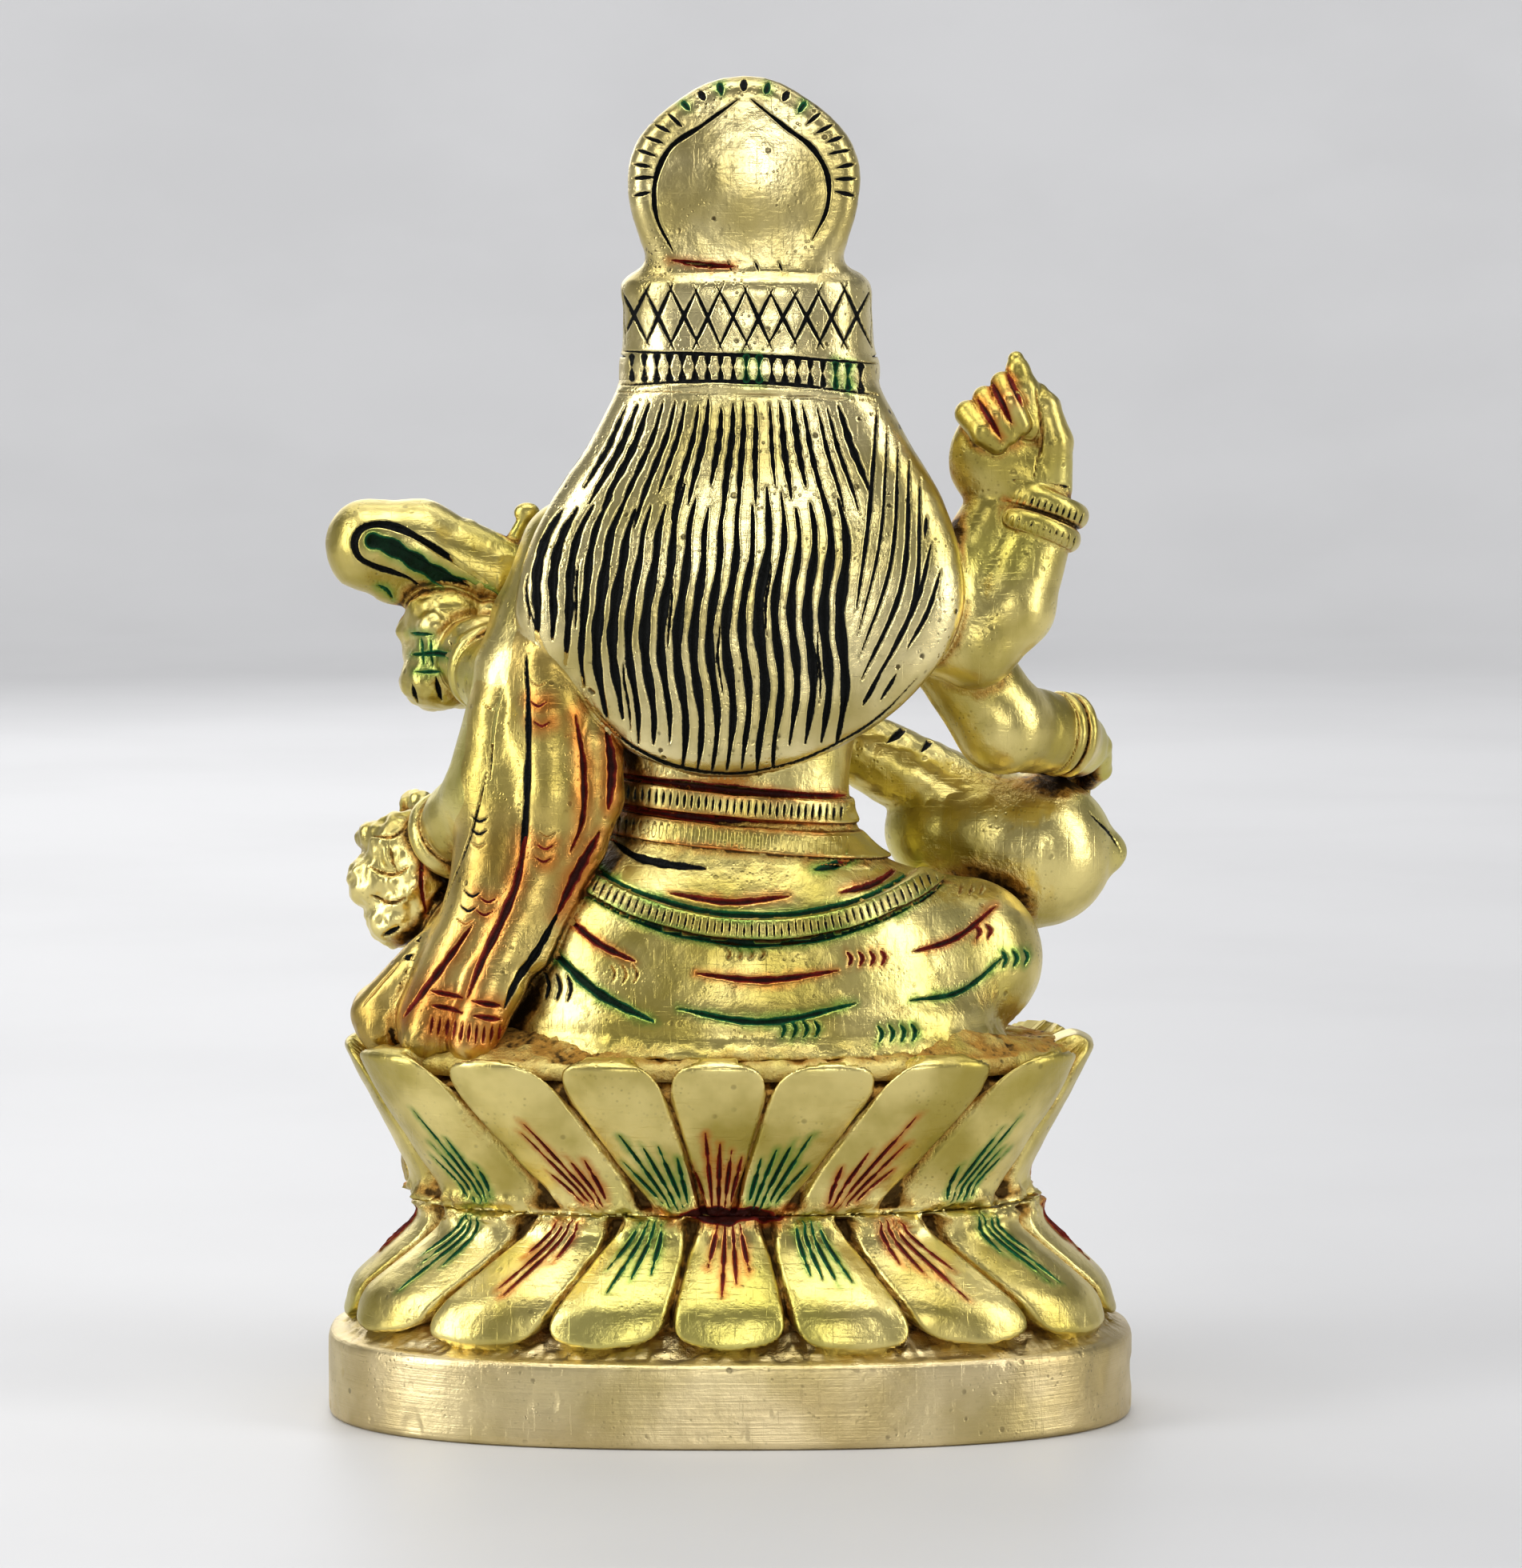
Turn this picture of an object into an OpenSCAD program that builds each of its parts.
// Four-armed goddess with a lute, seated on a double lotus: a cast brass figurine.
// +X is the goddess's left, +Y her back, +Z up. The origin is the centre of the underside.

/* [Base] */
// Width of the plinth, left to right
base_w = 91; // [89:0.5:94]
// Depth of the plinth, front to back
base_d = 54; // [53:0.5:58]
// Height of the plinth slab
plinth_h = 9.6; // [8:0.2:11]
// Squareness of the outline: 2 is an ellipse
squareness = 2.5; // [2.2:0.1:3]
// Wall of the hollow base castings
wall = 4; // [3:0.5:5]

/* [Lotus] */
// Petals round each tier
petals = 16; // [12:2:20]
// Depth of the grooves between petals
petal_groove = 1.6; // [0.8:0.2:2]
// Height at which the two tiers meet
waist_z = 24.4; // [23:0.2:26]
// Height of the upper petals' tips
rim_z = 42.6; // [42:0.2:44]

/* [Figure] */
// Height of the whole statue
total_h = 150; // [140:1:160]

/* [Hidden] */

brass = [0.80, 0.72, 0.42];
bright_brass = [0.88, 0.80, 0.52];
dark_brass = [0.66, 0.56, 0.30];
black_brass = [0.36, 0.32, 0.20];

seat_z = rim_z - 0.6;
nominal_seat_z = 42;
nominal_h = 150;
figure_k = (total_h - seat_z) / (nominal_h - nominal_seat_z);

// Half sizes of the base outlines
plinth_r = [base_w / 2, base_d / 2];
lower_tip_r = plinth_r - [2.2, 2.4];
waist_r = plinth_r - [12.4, 9.6];
rim_r = plinth_r - [4.4, 3.2];
lotus_x = 1.2;

// Landmarks of the nominal figure: [x, y, z, radius]
hip = [-1, 3, 52];
hip_r = [24, 13, 13];
knee = [26.5, -5, 51, 8.8];
shoulder_r = [-17, -1, 97, 6.2];
shoulder_l = [17.5, -1, 97, 6.2];
rear_r_elbow = [-27.6, 1.5, 86.4, 5.2];
rear_r_wrist = [-34.6, -0.5, 100.4, 4];
front_r_elbow = [-31, -6, 77, 5.4];
front_r_wrist = [-38.4, -12, 75.4, 4];
front_l_elbow = [24.5, -2, 82, 5];
front_l_wrist = [28, -9.5, 83.6, 4];
rear_l_elbow = [27, 3.5, 70, 5];
rear_l_wrist = [31.5, -4.2, 64.4, 4.2];
veena_y = -17.2;
veena_slope = 0.511;
neck_from = [-27, veena_y, 67.2];
neck_to = [31, veena_y, 67.2 + 58 * veena_slope];
neck_r = 4.2;
head_c = [-1.6, -2.6, 110.5];
head_r = [8.8, 9.6, 11.6];
crown_z = [115.5, 128.6];
finial_x = -1.6;

// ---- helpers ----

// A point of a superellipse outline at angle t, with half sizes r
function outline(t, r, e = squareness) = [
    r[0] * sign(cos(t)) * pow(abs(cos(t)), 2 / e),
    r[1] * sign(sin(t)) * pow(abs(sin(t)), 2 / e)
];
// Angle against distance walked round the plinth's outline, so that petals are equally wide
walk_steps = 180;
walk_angles = [for (i = [0:walk_steps]) i * 360 / walk_steps];
walk_points = [for (t = walk_angles) outline(t, plinth_r)];
function walked(i) = i == 0 ? 0 : walked(i - 1) + norm(walk_points[i] - walk_points[i - 1]);
walk_length = walked(walk_steps);
walk_table = [for (i = [0:walk_steps]) [walked(i) / walk_length, walk_angles[i]]];
function angle_at(share) = lookup(share, walk_table);

// A closed loft through rings of equal length, lowest first
module loft(rings) {
    n = len(rings[0]);
    m = len(rings);
    sides = [for (j = [0:m - 2], i = [0:n - 1])
        [j * n + i, (j + 1) * n + i, (j + 1) * n + (i + 1) % n, j * n + (i + 1) % n]];
    bottom = [for (i = [0:n - 1]) i];
    top = [for (i = [0:n - 1]) m * n - 1 - i];
    polyhedron([for (ring = rings) each ring], concat(sides, [bottom], [top]), convexity = 6);
}

// One mesh for a sculpted casting
module casting() resize([0, 0, 0]) union() children();

module ball(p, fn = 16) translate([p[0], p[1], p[2]]) sphere(p[3], $fn = fn);
module egg(centre, radii, fn = 18) translate(centre) scale(radii) sphere(1, $fn = fn);
// A limb through points [x, y, z, radius]
module limb(points, fn = 16) for (i = [0:len(points) - 2]) hull() {
    ball(points[i], fn);
    ball(points[i + 1], fn);
}
// A stack of flat ovals [z, centre x, half width, centre y, half depth]
module oval_stack(slices, fn = 28) for (i = [0:len(slices) - 2]) hull() {
    oval_slice(slices[i], fn);
    oval_slice(slices[i + 1], fn);
}
module oval_slice(s, fn) translate([s[1], s[3], s[0]]) scale([s[2], s[4], 1])
    cylinder(h = 0.02, r = 1, $fn = fn);
// A ring of oval section round a limb, at point p along direction d
module bangle_ring(p, d, ring_r, bead_r) translate([p[0], p[1], p[2]])
    rotate([0, acos(d[2] / norm(d)), atan2(d[1], d[0])])
        rotate_extrude($fn = 20) translate([ring_r, 0]) circle(bead_r, $fn = 6);
// The nominal figure scaled to stand from the seat to the top of the statue
module figure() translate([0, 0, seat_z]) scale(figure_k)
    translate([0, 0, -nominal_seat_z]) children();

// ---- base ----

// How full a petal is, 0 in the groove and 1 along its middle; one petal is centred on the back
function petal_place(share) = (share - 0.25) * petals + 0.5;
function fullness(share) = 1 - pow(abs(2 * (petal_place(share) - floor(petal_place(share))) - 1), 3);
// A ring of petals at height z; the grooves are cut in by cut and drop by dip
function tier_ring(z, r, cut, dip = 0) = [
    for (i = [0:6 * petals - 1])
        let (share = i / (6 * petals), hollow = 1 - fullness(share),
             p = outline(angle_at(share), r - [cut, cut] * hollow))
        [p[0], p[1], z - dip * hollow]
];
function plain_ring(z, r) = [for (i = [0:47]) let (p = outline(i * 7.5, r)) [p[0], p[1], z]];
function shrunk(r, by) = r - [by, by];

lower_rings = [
    tier_ring(plinth_h, shrunk(lower_tip_r, 4), petal_groove),
    tier_ring(plinth_h + 0.8, shrunk(lower_tip_r, 0.7), 2 * petal_groove),
    tier_ring(plinth_h + 3.6, lower_tip_r, 1.6 * petal_groove),
    tier_ring(plinth_h + 8, shrunk(lower_tip_r, 3.2), petal_groove),
    tier_ring(waist_z - 2.4, shrunk(waist_r, -1.4), 0.8 * petal_groove),
    tier_ring(waist_z, waist_r, 0.5 * petal_groove)
];
upper_rings = [
    tier_ring(waist_z, waist_r, 0.5 * petal_groove),
    tier_ring(waist_z + 3, shrunk(waist_r, -1.8), 0.8 * petal_groove),
    tier_ring(waist_z + 10, shrunk(rim_r, 2.6), petal_groove),
    tier_ring(rim_z - 2.6, rim_r, petal_groove, 2),
    tier_ring(rim_z, shrunk(rim_r, 1.2), petal_groove, 2.4),
    tier_ring(seat_z - 1, shrunk(rim_r, 3.2), 0)
];
seat_r = shrunk(rim_r, 4);
seat_t = 2;
// Half sizes of the hollow at the plinth's lip and at the waist
lip_r = shrunk(plinth_r, 9);
hollow_r = shrunk(waist_r, 5);

module plinth() color(brass) difference() {
    linear_extrude(plinth_h) polygon([for (i = [0:95]) outline(i * 3.75, plinth_r)]);
    translate([0, 0, -1]) linear_extrude(plinth_h - wall / 2)
        polygon([for (i = [0:71]) outline(i * 5, shrunk(plinth_r, wall))]);
    linear_extrude(plinth_h + 1) polygon([for (i = [0:71]) outline(i * 5, lip_r)]);
}

module lower_lotus() color(bright_brass) casting() difference() {
    loft(lower_rings);
    loft([plain_ring(plinth_h - 1, lip_r), plain_ring(waist_z + 1, hollow_r)]);
}

module upper_lotus() color(bright_brass) casting() translate([lotus_x, 0, 0]) difference() {
    loft(upper_rings);
    translate([0, 0, seat_z - seat_t]) linear_extrude(seat_t + 1)
        polygon([for (i = [0:47]) outline(i * 7.5, seat_r)]);
}

// The seed pod that the figure sits on, with a socket for the figure's tenon
tenon_r = 5;
tenon_l = 1.6;
tenon_play = 0.05;
module lotus_seat() color(dark_brass) difference() {
    translate([lotus_x, 0, seat_z - seat_t]) linear_extrude(seat_t)
        polygon([for (i = [0:47]) outline(i * 7.5, seat_r)]);
    translate([0, 0, seat_z - tenon_l]) cylinder(h = seat_t, r = tenon_r + tenon_play, $fn = 48);
}

// ---- body ----

module skirt_body() {
    egg(hip, hip_r, 24);
    for (side = [-1, 1]) {
        limb([[side * 10, 4, 51, 11], [side * knee[0], knee[1], knee[2], knee[3]]], 20);
        limb([[side * knee[0], knee[1], knee[2], knee[3] - 0.6], [side * -3, -17.5, 47.6, 5]], 20);
    }
    oval_stack([[52, -1, 22, 3, 12], [60, -0.6, 17, 2, 10.5], [66, -0.4, 13.6, 1, 8.6]], 28);
}
module skirt() color(brass) figure() casting() {
    intersection() {
        skirt_body();
        translate([-60, -60, nominal_seat_z]) cube([120, 120, 24]);
    }
    translate([0, 0, nominal_seat_z - tenon_l]) cylinder(h = tenon_l + 1, r = tenon_r, $fn = 48);
}

module foot(side) limb([
    [side * -7, -20.6, 46.4, 2.6], [side * -13, -20.6, 45.2, 2.6], [side * -17.5, -19.8, 44.8, 2]
], 12);
module feet() color(bright_brass) figure() casting() difference() {
    for (side = [-1, 1]) foot(side);
    skirt_body();
    translate([-60, -60, nominal_seat_z - 10]) cube([120, 120, 10]);
}

function hip_y(x, z) = hip[1] + hip_r[1]
    * sqrt(max(0, 1 - pow((x - hip[0]) / hip_r[0], 2) - pow((z - hip[2]) / hip_r[2], 2)));
chain_x = [for (i = [0:10]) 15.5 - i * 3.7];
function chain_z(x) = 57 + 4.6 * pow((x + 3.4) / 20, 2);
module chain_body() limb([for (x = chain_x) [x, hip_y(x, chain_z(x)) + 0.4, chain_z(x), 1.3]], 10);
module hip_chain() color(bright_brass) figure() casting() difference() {
    chain_body();
    skirt_body();
}

module torso_body() {
    oval_stack([
        [66, -0.4, 13.4, 1, 8.4], [73, -0.4, 13.6, 0.6, 8.2], [80, 0, 15.4, 0, 8.6],
        [88, 0, 17, -0.4, 9], [96, 0, 18.4, 0, 8], [101, -1, 9, -0.6, 6]
    ]);
    for (side = [-1, 1]) ball([side * 6.4, -7, 86, 5.6], 16);
}
module torso() color(brass) figure() casting() difference() {
    torso_body();
    translate([-60, -60, 40]) cube([120, 120, 26]);
    translate([-60, -60, 100]) cube([120, 120, 20]);
}

module belt_body() translate([-0.4, 1, 67.2]) rotate([4, 0, 0]) scale([1, 0.63, 1]) {
    for (lift = [-2.6, 0.6]) rotate_extrude($fn = 36) translate([13.5, lift]) square([1, 2.2]);
}
module waist_belt() color(dark_brass) figure() casting() difference() {
    belt_body();
    torso_body();
    skirt_body();
}

module necklace() color(bright_brass) figure() casting() difference() {
    limb([for (a = [-75:15:75]) [-1 + 9 * sin(a), -5.4 - 4.6 * cos(a), 99 - 8.4 * cos(a), 1.2]], 10);
    trunk();
    limb([shoulder_r, rear_r_elbow]);
    limb([shoulder_l, rear_l_elbow]);
}

// ---- head, hair and crown ----

module head_body() {
    egg(head_c, head_r, 28);
    limb([[-1.2, -1, 99, 5.2], [-1.6, -1.4, 106, 4.8]], 20);
    limb([[head_c[0], -11.6, 109.6, 1], [head_c[0], -12.6, 106.4, 1.5]], 12);
}
module head() color(brass) figure() casting() intersection() {
    head_body();
    translate([-60, -60, 100]) cube([120, 120, crown_z[0] - 100]);
}

module earrings() color(bright_brass) figure() casting() difference() {
    for (side = [-1, 1]) translate([head_c[0] + side * 9.6, -4.4, 104.6])
        scale([0.55, 1, 1.3]) sphere(2.4, $fn = 14);
    trunk();
}

// Half widths of the hair from the neck of the crown down to its point
hair_slices = [
    [73.6, 0.4, 4, 7, 5.4], [75.4, 0, 9, 6.6, 6], [78.4, -0.8, 14.2, 6, 6.8],
    [83, -1.6, 19.4, 5.4, 7.6], [90, -1.4, 23.2, 4.6, 8], [97, -2, 22.8, 4, 8],
    [104, -2, 20.2, 3.4, 7.8], [110, -2.2, 17.2, 2.6, 7.8], [crown_z[0], -2.1, 14.4, 2, 7.8]
];
module hair_body() oval_stack(hair_slices);
module hair() color(black_brass) figure() casting() difference() {
    hair_body();
    torso_body();
    head_body();
    translate([-60, -60, 60]) cube([120, 60, 37]);
}

module crown_band() color(bright_brass) figure() casting() {
    oval_stack([
        [crown_z[0], -2, 14.4, -0.6, 10.4], [crown_z[0] + 6, -2, 14.2, -0.4, 10.2],
        [crown_z[1] - 2.4, -1.9, 13.6, -0.2, 9.8], [crown_z[1] - 0.02, -1.7, 11, 0, 8]
    ], 40);
}

// The onion outline of the plate that tops the crown, about its widest level
onion_z = 138.7;
onion_half = 12.9;
onion_below = 13.4;
onion_above = 9.4;
onion_tip = nominal_h - onion_z - onion_above;
function onion(a) = let (up = -cos(a))
    [onion_half * sin(a), up < 0 ? onion_below * up : onion_above * up + onion_tip * pow(up, 8)];
module onion_plate(y, s) translate([finial_x, y, onion_z]) rotate([90, 0, 0])
    linear_extrude(0.3) scale(s) polygon([for (i = [0:39]) onion(i * 9)]);
module above_crown() translate([-60, -60, crown_z[1]]) cube([120, 120, nominal_h]);
module crown_finial() color(bright_brass) figure() casting() intersection() {
    hull() {
        onion_plate(8, [0.86, 0.9]);
        onion_plate(6.4, [1, 1]);
        onion_plate(2.6, [1, 1]);
        onion_plate(1, [0.9, 0.92]);
    }
    above_crown();
}

// The raised jewel on the front of the plate
module crown_front() color(bright_brass) figure() casting() intersection() {
    union() {
        hull() {
            onion_plate(0.7, [0.74, 0.74]);
            onion_plate(-1.2, [0.6, 0.62]);
        }
        translate([finial_x, -1, onion_z - 1]) scale([1, 0.7, 1.3]) sphere(4, $fn = 20);
    }
    above_crown();
    translate([-60, -60, 0]) cube([120, 60.7, 200]);
}

// ---- arms, hands and what they hold ----

module trunk() {
    torso_body();
    hair_body();
    head_body();
}
module rear_right_arm_body() limb([shoulder_r, rear_r_elbow, rear_r_wrist]);
module rear_right_arm() color(brass) figure() casting() difference() {
    rear_right_arm_body();
    trunk();
}
wrist_ring = 4.6;
bead_r = 0.95;
module rear_right_bangle_body() for (lift = [0.4, 2.4]) bangle_ring(
    rear_r_wrist + [-lift * 0.3, 0, lift, 0], rear_r_wrist - rear_r_elbow, wrist_ring, bead_r);
module rear_right_bangle() color(bright_brass) figure() casting() difference() {
    rear_right_bangle_body();
    rear_right_arm_body();
}
module rear_right_hand_body() {
    egg([-31.4, -0.2, 107.4], [6.6, 4, 7.2]);
    limb([[-35.6, 0.4, 104, 2.8], [-36, 0.8, 110, 2.3], [-34.4, 1, 114.4, 1.7]], 12);
    limb([[-33, 1, 111.6, 2.3], [-32.2, 1.3, 118, 1.3]], 12);
    for (i = [0:2]) limb([
        [-30.7 + i * 1.75, 2.4, 115.8 - i * 1.5, 1.4], [-32.9 + i, 3.2, 111 - i * 0.7, 1.4]
    ], 8);
}
module rear_right_hand() color(brass) figure() casting() difference() {
    rear_right_hand_body();
    rear_right_arm_body();
    rear_right_bangle_body();
    trunk();
}

module front_right_arm_body() limb([shoulder_r - [0, 3, 2, 0.4], front_r_elbow, front_r_wrist]);
module front_right_arm() color(brass) figure() casting() difference() {
    front_right_arm_body();
    trunk();
    rear_right_arm_body();
    veena_body();
}
module front_right_bangle_body() for (lift = [-1.4, 0.6]) bangle_ring(
    front_r_wrist + [-lift * 0.7, -lift * 0.6, 0, 0], front_r_wrist - front_r_elbow, wrist_ring, bead_r);
module front_right_bangle() color(bright_brass) figure() casting() difference() {
    front_right_bangle_body();
    front_right_arm_body();
    veena_body();
}
module front_right_hand() color(brass) figure() casting() difference() {
    union() {
        limb([front_r_wrist - [0, 0, 0, 0.3], [-39.4, -19, 74, 3.6], [-38.4, -23.6, 71.6, 2.8]], 12);
        for (i = [0:3]) limb([
            [-40 + i * 1.9, -24.4, 72 - i * 0.4, 1.3], [-40.4 + i * 2.2, -25, 66.4 - i * 0.4, 1.2]
        ], 8);
    }
    front_right_arm_body();
    front_right_bangle_body();
    veena_body();
}

module front_left_arm_body() limb([shoulder_l - [0, 2, 1, 0.4], front_l_elbow, front_l_wrist]);
module front_left_arm() color(brass) figure() casting() difference() {
    front_left_arm_body();
    trunk();
    rear_left_arm_body();
    veena_body();
}
module front_left_bangle_body() bangle_ring(front_l_wrist, front_l_wrist - front_l_elbow, wrist_ring, bead_r);
module front_left_bangle() color(bright_brass) figure() casting() difference() {
    front_left_bangle_body();
    front_left_arm_body();
    veena_body();
    shawl_body();
}
module front_left_hand() color(brass) figure() casting() difference() {
    union() {
        egg([31.2, -14.8, 84], [6.2, 5.4, 5.6]);
        for (i = [0:3]) limb([
            [35.4 - i * 2.5, -17.4, 85.6 - i * 1.2, 1.9], [35.6 - i * 2.6, -21.2, 88.6 - i * 1.3, 1.6],
            [35.2 - i * 2.6, -22.4, 92.6 - i * 1.4, 1.4]
        ], 8);
    }
    front_left_arm_body();
    front_left_bangle_body();
    veena_body();
}

module rear_left_arm_body() limb([shoulder_l, rear_l_elbow, rear_l_wrist]);
module rear_left_arm() color(brass) figure() casting() difference() {
    rear_left_arm_body();
    trunk();
    skirt_body();
}
module rear_left_bangle_body() bangle_ring(rear_l_wrist, rear_l_wrist - rear_l_elbow, wrist_ring + 0.2, bead_r);
module rear_left_bangle() color(bright_brass) figure() casting() difference() {
    rear_left_bangle_body();
    rear_left_arm_body();
    skirt_body();
    shawl_body();
}
module rear_left_hand_body() {
    egg([37, -8.4, 60], [5.6, 4.6, 6.4]);
    for (i = [0:3]) limb([
        [42, -9.6, 63.8 - i * 2.8, 1.8], [41.6, -14, 63.2 - i * 2.8, 1.6], [39, -17.4, 62.6 - i * 2.7, 1.4]
    ], 8);
}
module rear_left_hand() color(brass) figure() casting() difference() {
    rear_left_hand_body();
    rear_left_arm_body();
    rear_left_bangle_body();
    skirt_body();
    manuscript_body();
}
module manuscript_body() translate([34.6, -15.4, 61]) rotate([0, -8, 0]) cube([8.4, 4, 13], center = true);
module manuscript() color(dark_brass) figure() manuscript_body();

// ---- shawl ----

shawl_slices = [
    [nominal_seat_z, 33.4, 4.6, 9.6, 5.4], [45, 32.2, 6.2, 9.4, 6.2], [50, 30.3, 7.1, 9, 6.4],
    [60, 25.4, 6.4, 7.6, 6.2], [70, 22.8, 6.6, 6.4, 6], [78, 20, 6.8, 5.2, 6], [89, 17.4, 6, 3.6, 6],
    [99, 15, 4, 1, 5]
];
module shawl_body() oval_stack(shawl_slices, 24);
module shawl() color(brass) figure() casting() difference() {
    shawl_body();
    trunk();
    skirt_body();
    rear_left_arm_body();
    front_left_arm_body();
    chain_body();
    belt_body();
}
module shawl_hem() color(bright_brass) figure() casting() difference() {
    hull() {
        ball([29, -1, 54, 3.4]);
        ball([40.6, -3.4, 43.6, 2.6]);
        ball([38.6, 4.4, 43.6, 2.6]);
        ball([31, 6, 47, 3]);
    }
    shawl_body();
    skirt_body();
    rear_left_arm_body();
    rear_left_hand_body();
    rear_left_bangle_body();
    translate([-60, -60, nominal_seat_z - 20]) cube([120, 120, 20.6]);
}

// ---- veena ----

module neck_place(x) translate([x, veena_y, neck_from[2] + (x - neck_from[0]) * veena_slope])
    rotate([0, -atan(veena_slope), 0]) children();
module bowl_body() {
    limb([[-25, veena_y, 64.4, 6.4], [-35.4, veena_y, 61.8, 9]], 24);
    limb([[-35.4, veena_y, 61.6, 8.6], [-43.4, veena_y, 61.2, 2.6]], 16);
}
module neck_body() limb([
    [neck_from[0], veena_y, neck_from[2], neck_r + 0.8], [-14, veena_y, 73.8, neck_r],
    [neck_to[0], veena_y, neck_to[2], neck_r]
], 20);
module head_scroll() limb([
    [30, veena_y, 95.6, 4.5], [36, veena_y, 97, 5], [41.4, veena_y, 97, 5.2],
    [41.4, veena_y, 95.6, 4.6], [38.6, veena_y, 93.4, 3.2]
], 16);
module veena_body() {
    bowl_body();
    neck_body();
    head_scroll();
}
module veena_bowl() color(brass) figure() casting() difference() {
    bowl_body();
    skirt_body();
}
module veena_neck() color(brass) figure() casting() difference() {
    neck_body();
    bowl_body();
    torso_body();
    neck_place(neck_to[0]) translate([0, -10, -10]) cube(20);
}
module veena_head() color(bright_brass) figure() casting() difference() {
    head_scroll();
    intersection() {
        neck_body();
        neck_place(neck_to[0]) translate([-30, -15, -15]) cube(30);
    }
}
module veena_bridge() color(dark_brass) figure() casting() difference() {
    neck_place(-33) translate([-1, -9.6, -3]) cube([2, 3, 6]);
    bowl_body();
}
fret_count = 9;
module veena_frets() color(bright_brass) figure() casting() difference() {
    for (i = [0:fret_count - 1]) neck_place(-20 + i * 5) translate([-0.5, -neck_r - 0.7, -2.6])
        cube([1, 3, 5.2]);
    neck_body();
    torso_body();
}
module veena_pegs() color(dark_brass) figure() casting() difference() {
    for (x = [22, 26.5]) neck_place(x) {
        translate([0, 0, 3]) cylinder(h = 3.4, r = 0.8, $fn = 12);
        translate([0, 0, 6.6]) sphere(1.4, $fn = 12);
    }
    neck_body();
    head_scroll();
}

// ---- swan ----

swan_body_pts = [
    [35.6, -18.4, 24.4, 2.4], [31, -20, 20.6, 4.6], [27.2, -21, 21, 3.8],
    [24.4, -22.6, 26.4, 2.2], [22.8, -24.2, 31.4, 1.7], [23.6, -24.8, 35.4, 1.6]
];
module swan_body() {
    limb(swan_body_pts, 14);
    limb([[23.6, -24.8, 36.4, 2], [21.8, -25, 36.6, 1.9]], 12);
    limb([[21, -25, 36.4, 1.2], [18.6, -25.2, 35.2, 0.6]], 8);
    limb([[35.6, -18.4, 24.4, 2.4], [38, -17, 28.4, 1.2]], 12);
}
module swan_foot() limb([[30.6, -20.8, 17, 3.2], [30.6, -20.6, 12.8, 2.9]], 12);
module lotus_body() {
    loft(lower_rings);
    translate([lotus_x, 0, 0]) loft(upper_rings);
}
module swan() color(bright_brass) casting() difference() {
    union() {
        swan_body();
        swan_foot();
    }
    lotus_body();
}
module swan_wings() color(brass) casting() difference() {
    hull() {
        ball([28.6, -24.2, 21.6, 1.6], 12);
        ball([34.4, -22, 22, 1.6], 12);
        ball([38, -18.6, 26.4, 0.8], 10);
        ball([30, -23.6, 24, 1.2], 10);
    }
    swan_body();
    lotus_body();
}

// ---- output ----

plinth();
lower_lotus();
upper_lotus();
lotus_seat();
skirt();
feet();
hip_chain();
torso();
waist_belt();
necklace();
head();
earrings();
hair();
crown_band();
crown_front();
crown_finial();
rear_right_arm();
rear_right_bangle();
rear_right_hand();
front_right_arm();
front_right_bangle();
front_right_hand();
front_left_arm();
front_left_bangle();
front_left_hand();
rear_left_arm();
rear_left_bangle();
rear_left_hand();
manuscript();
shawl();
shawl_hem();
veena_bowl();
veena_neck();
veena_head();
veena_bridge();
veena_frets();
veena_pegs();
swan();
swan_wings();
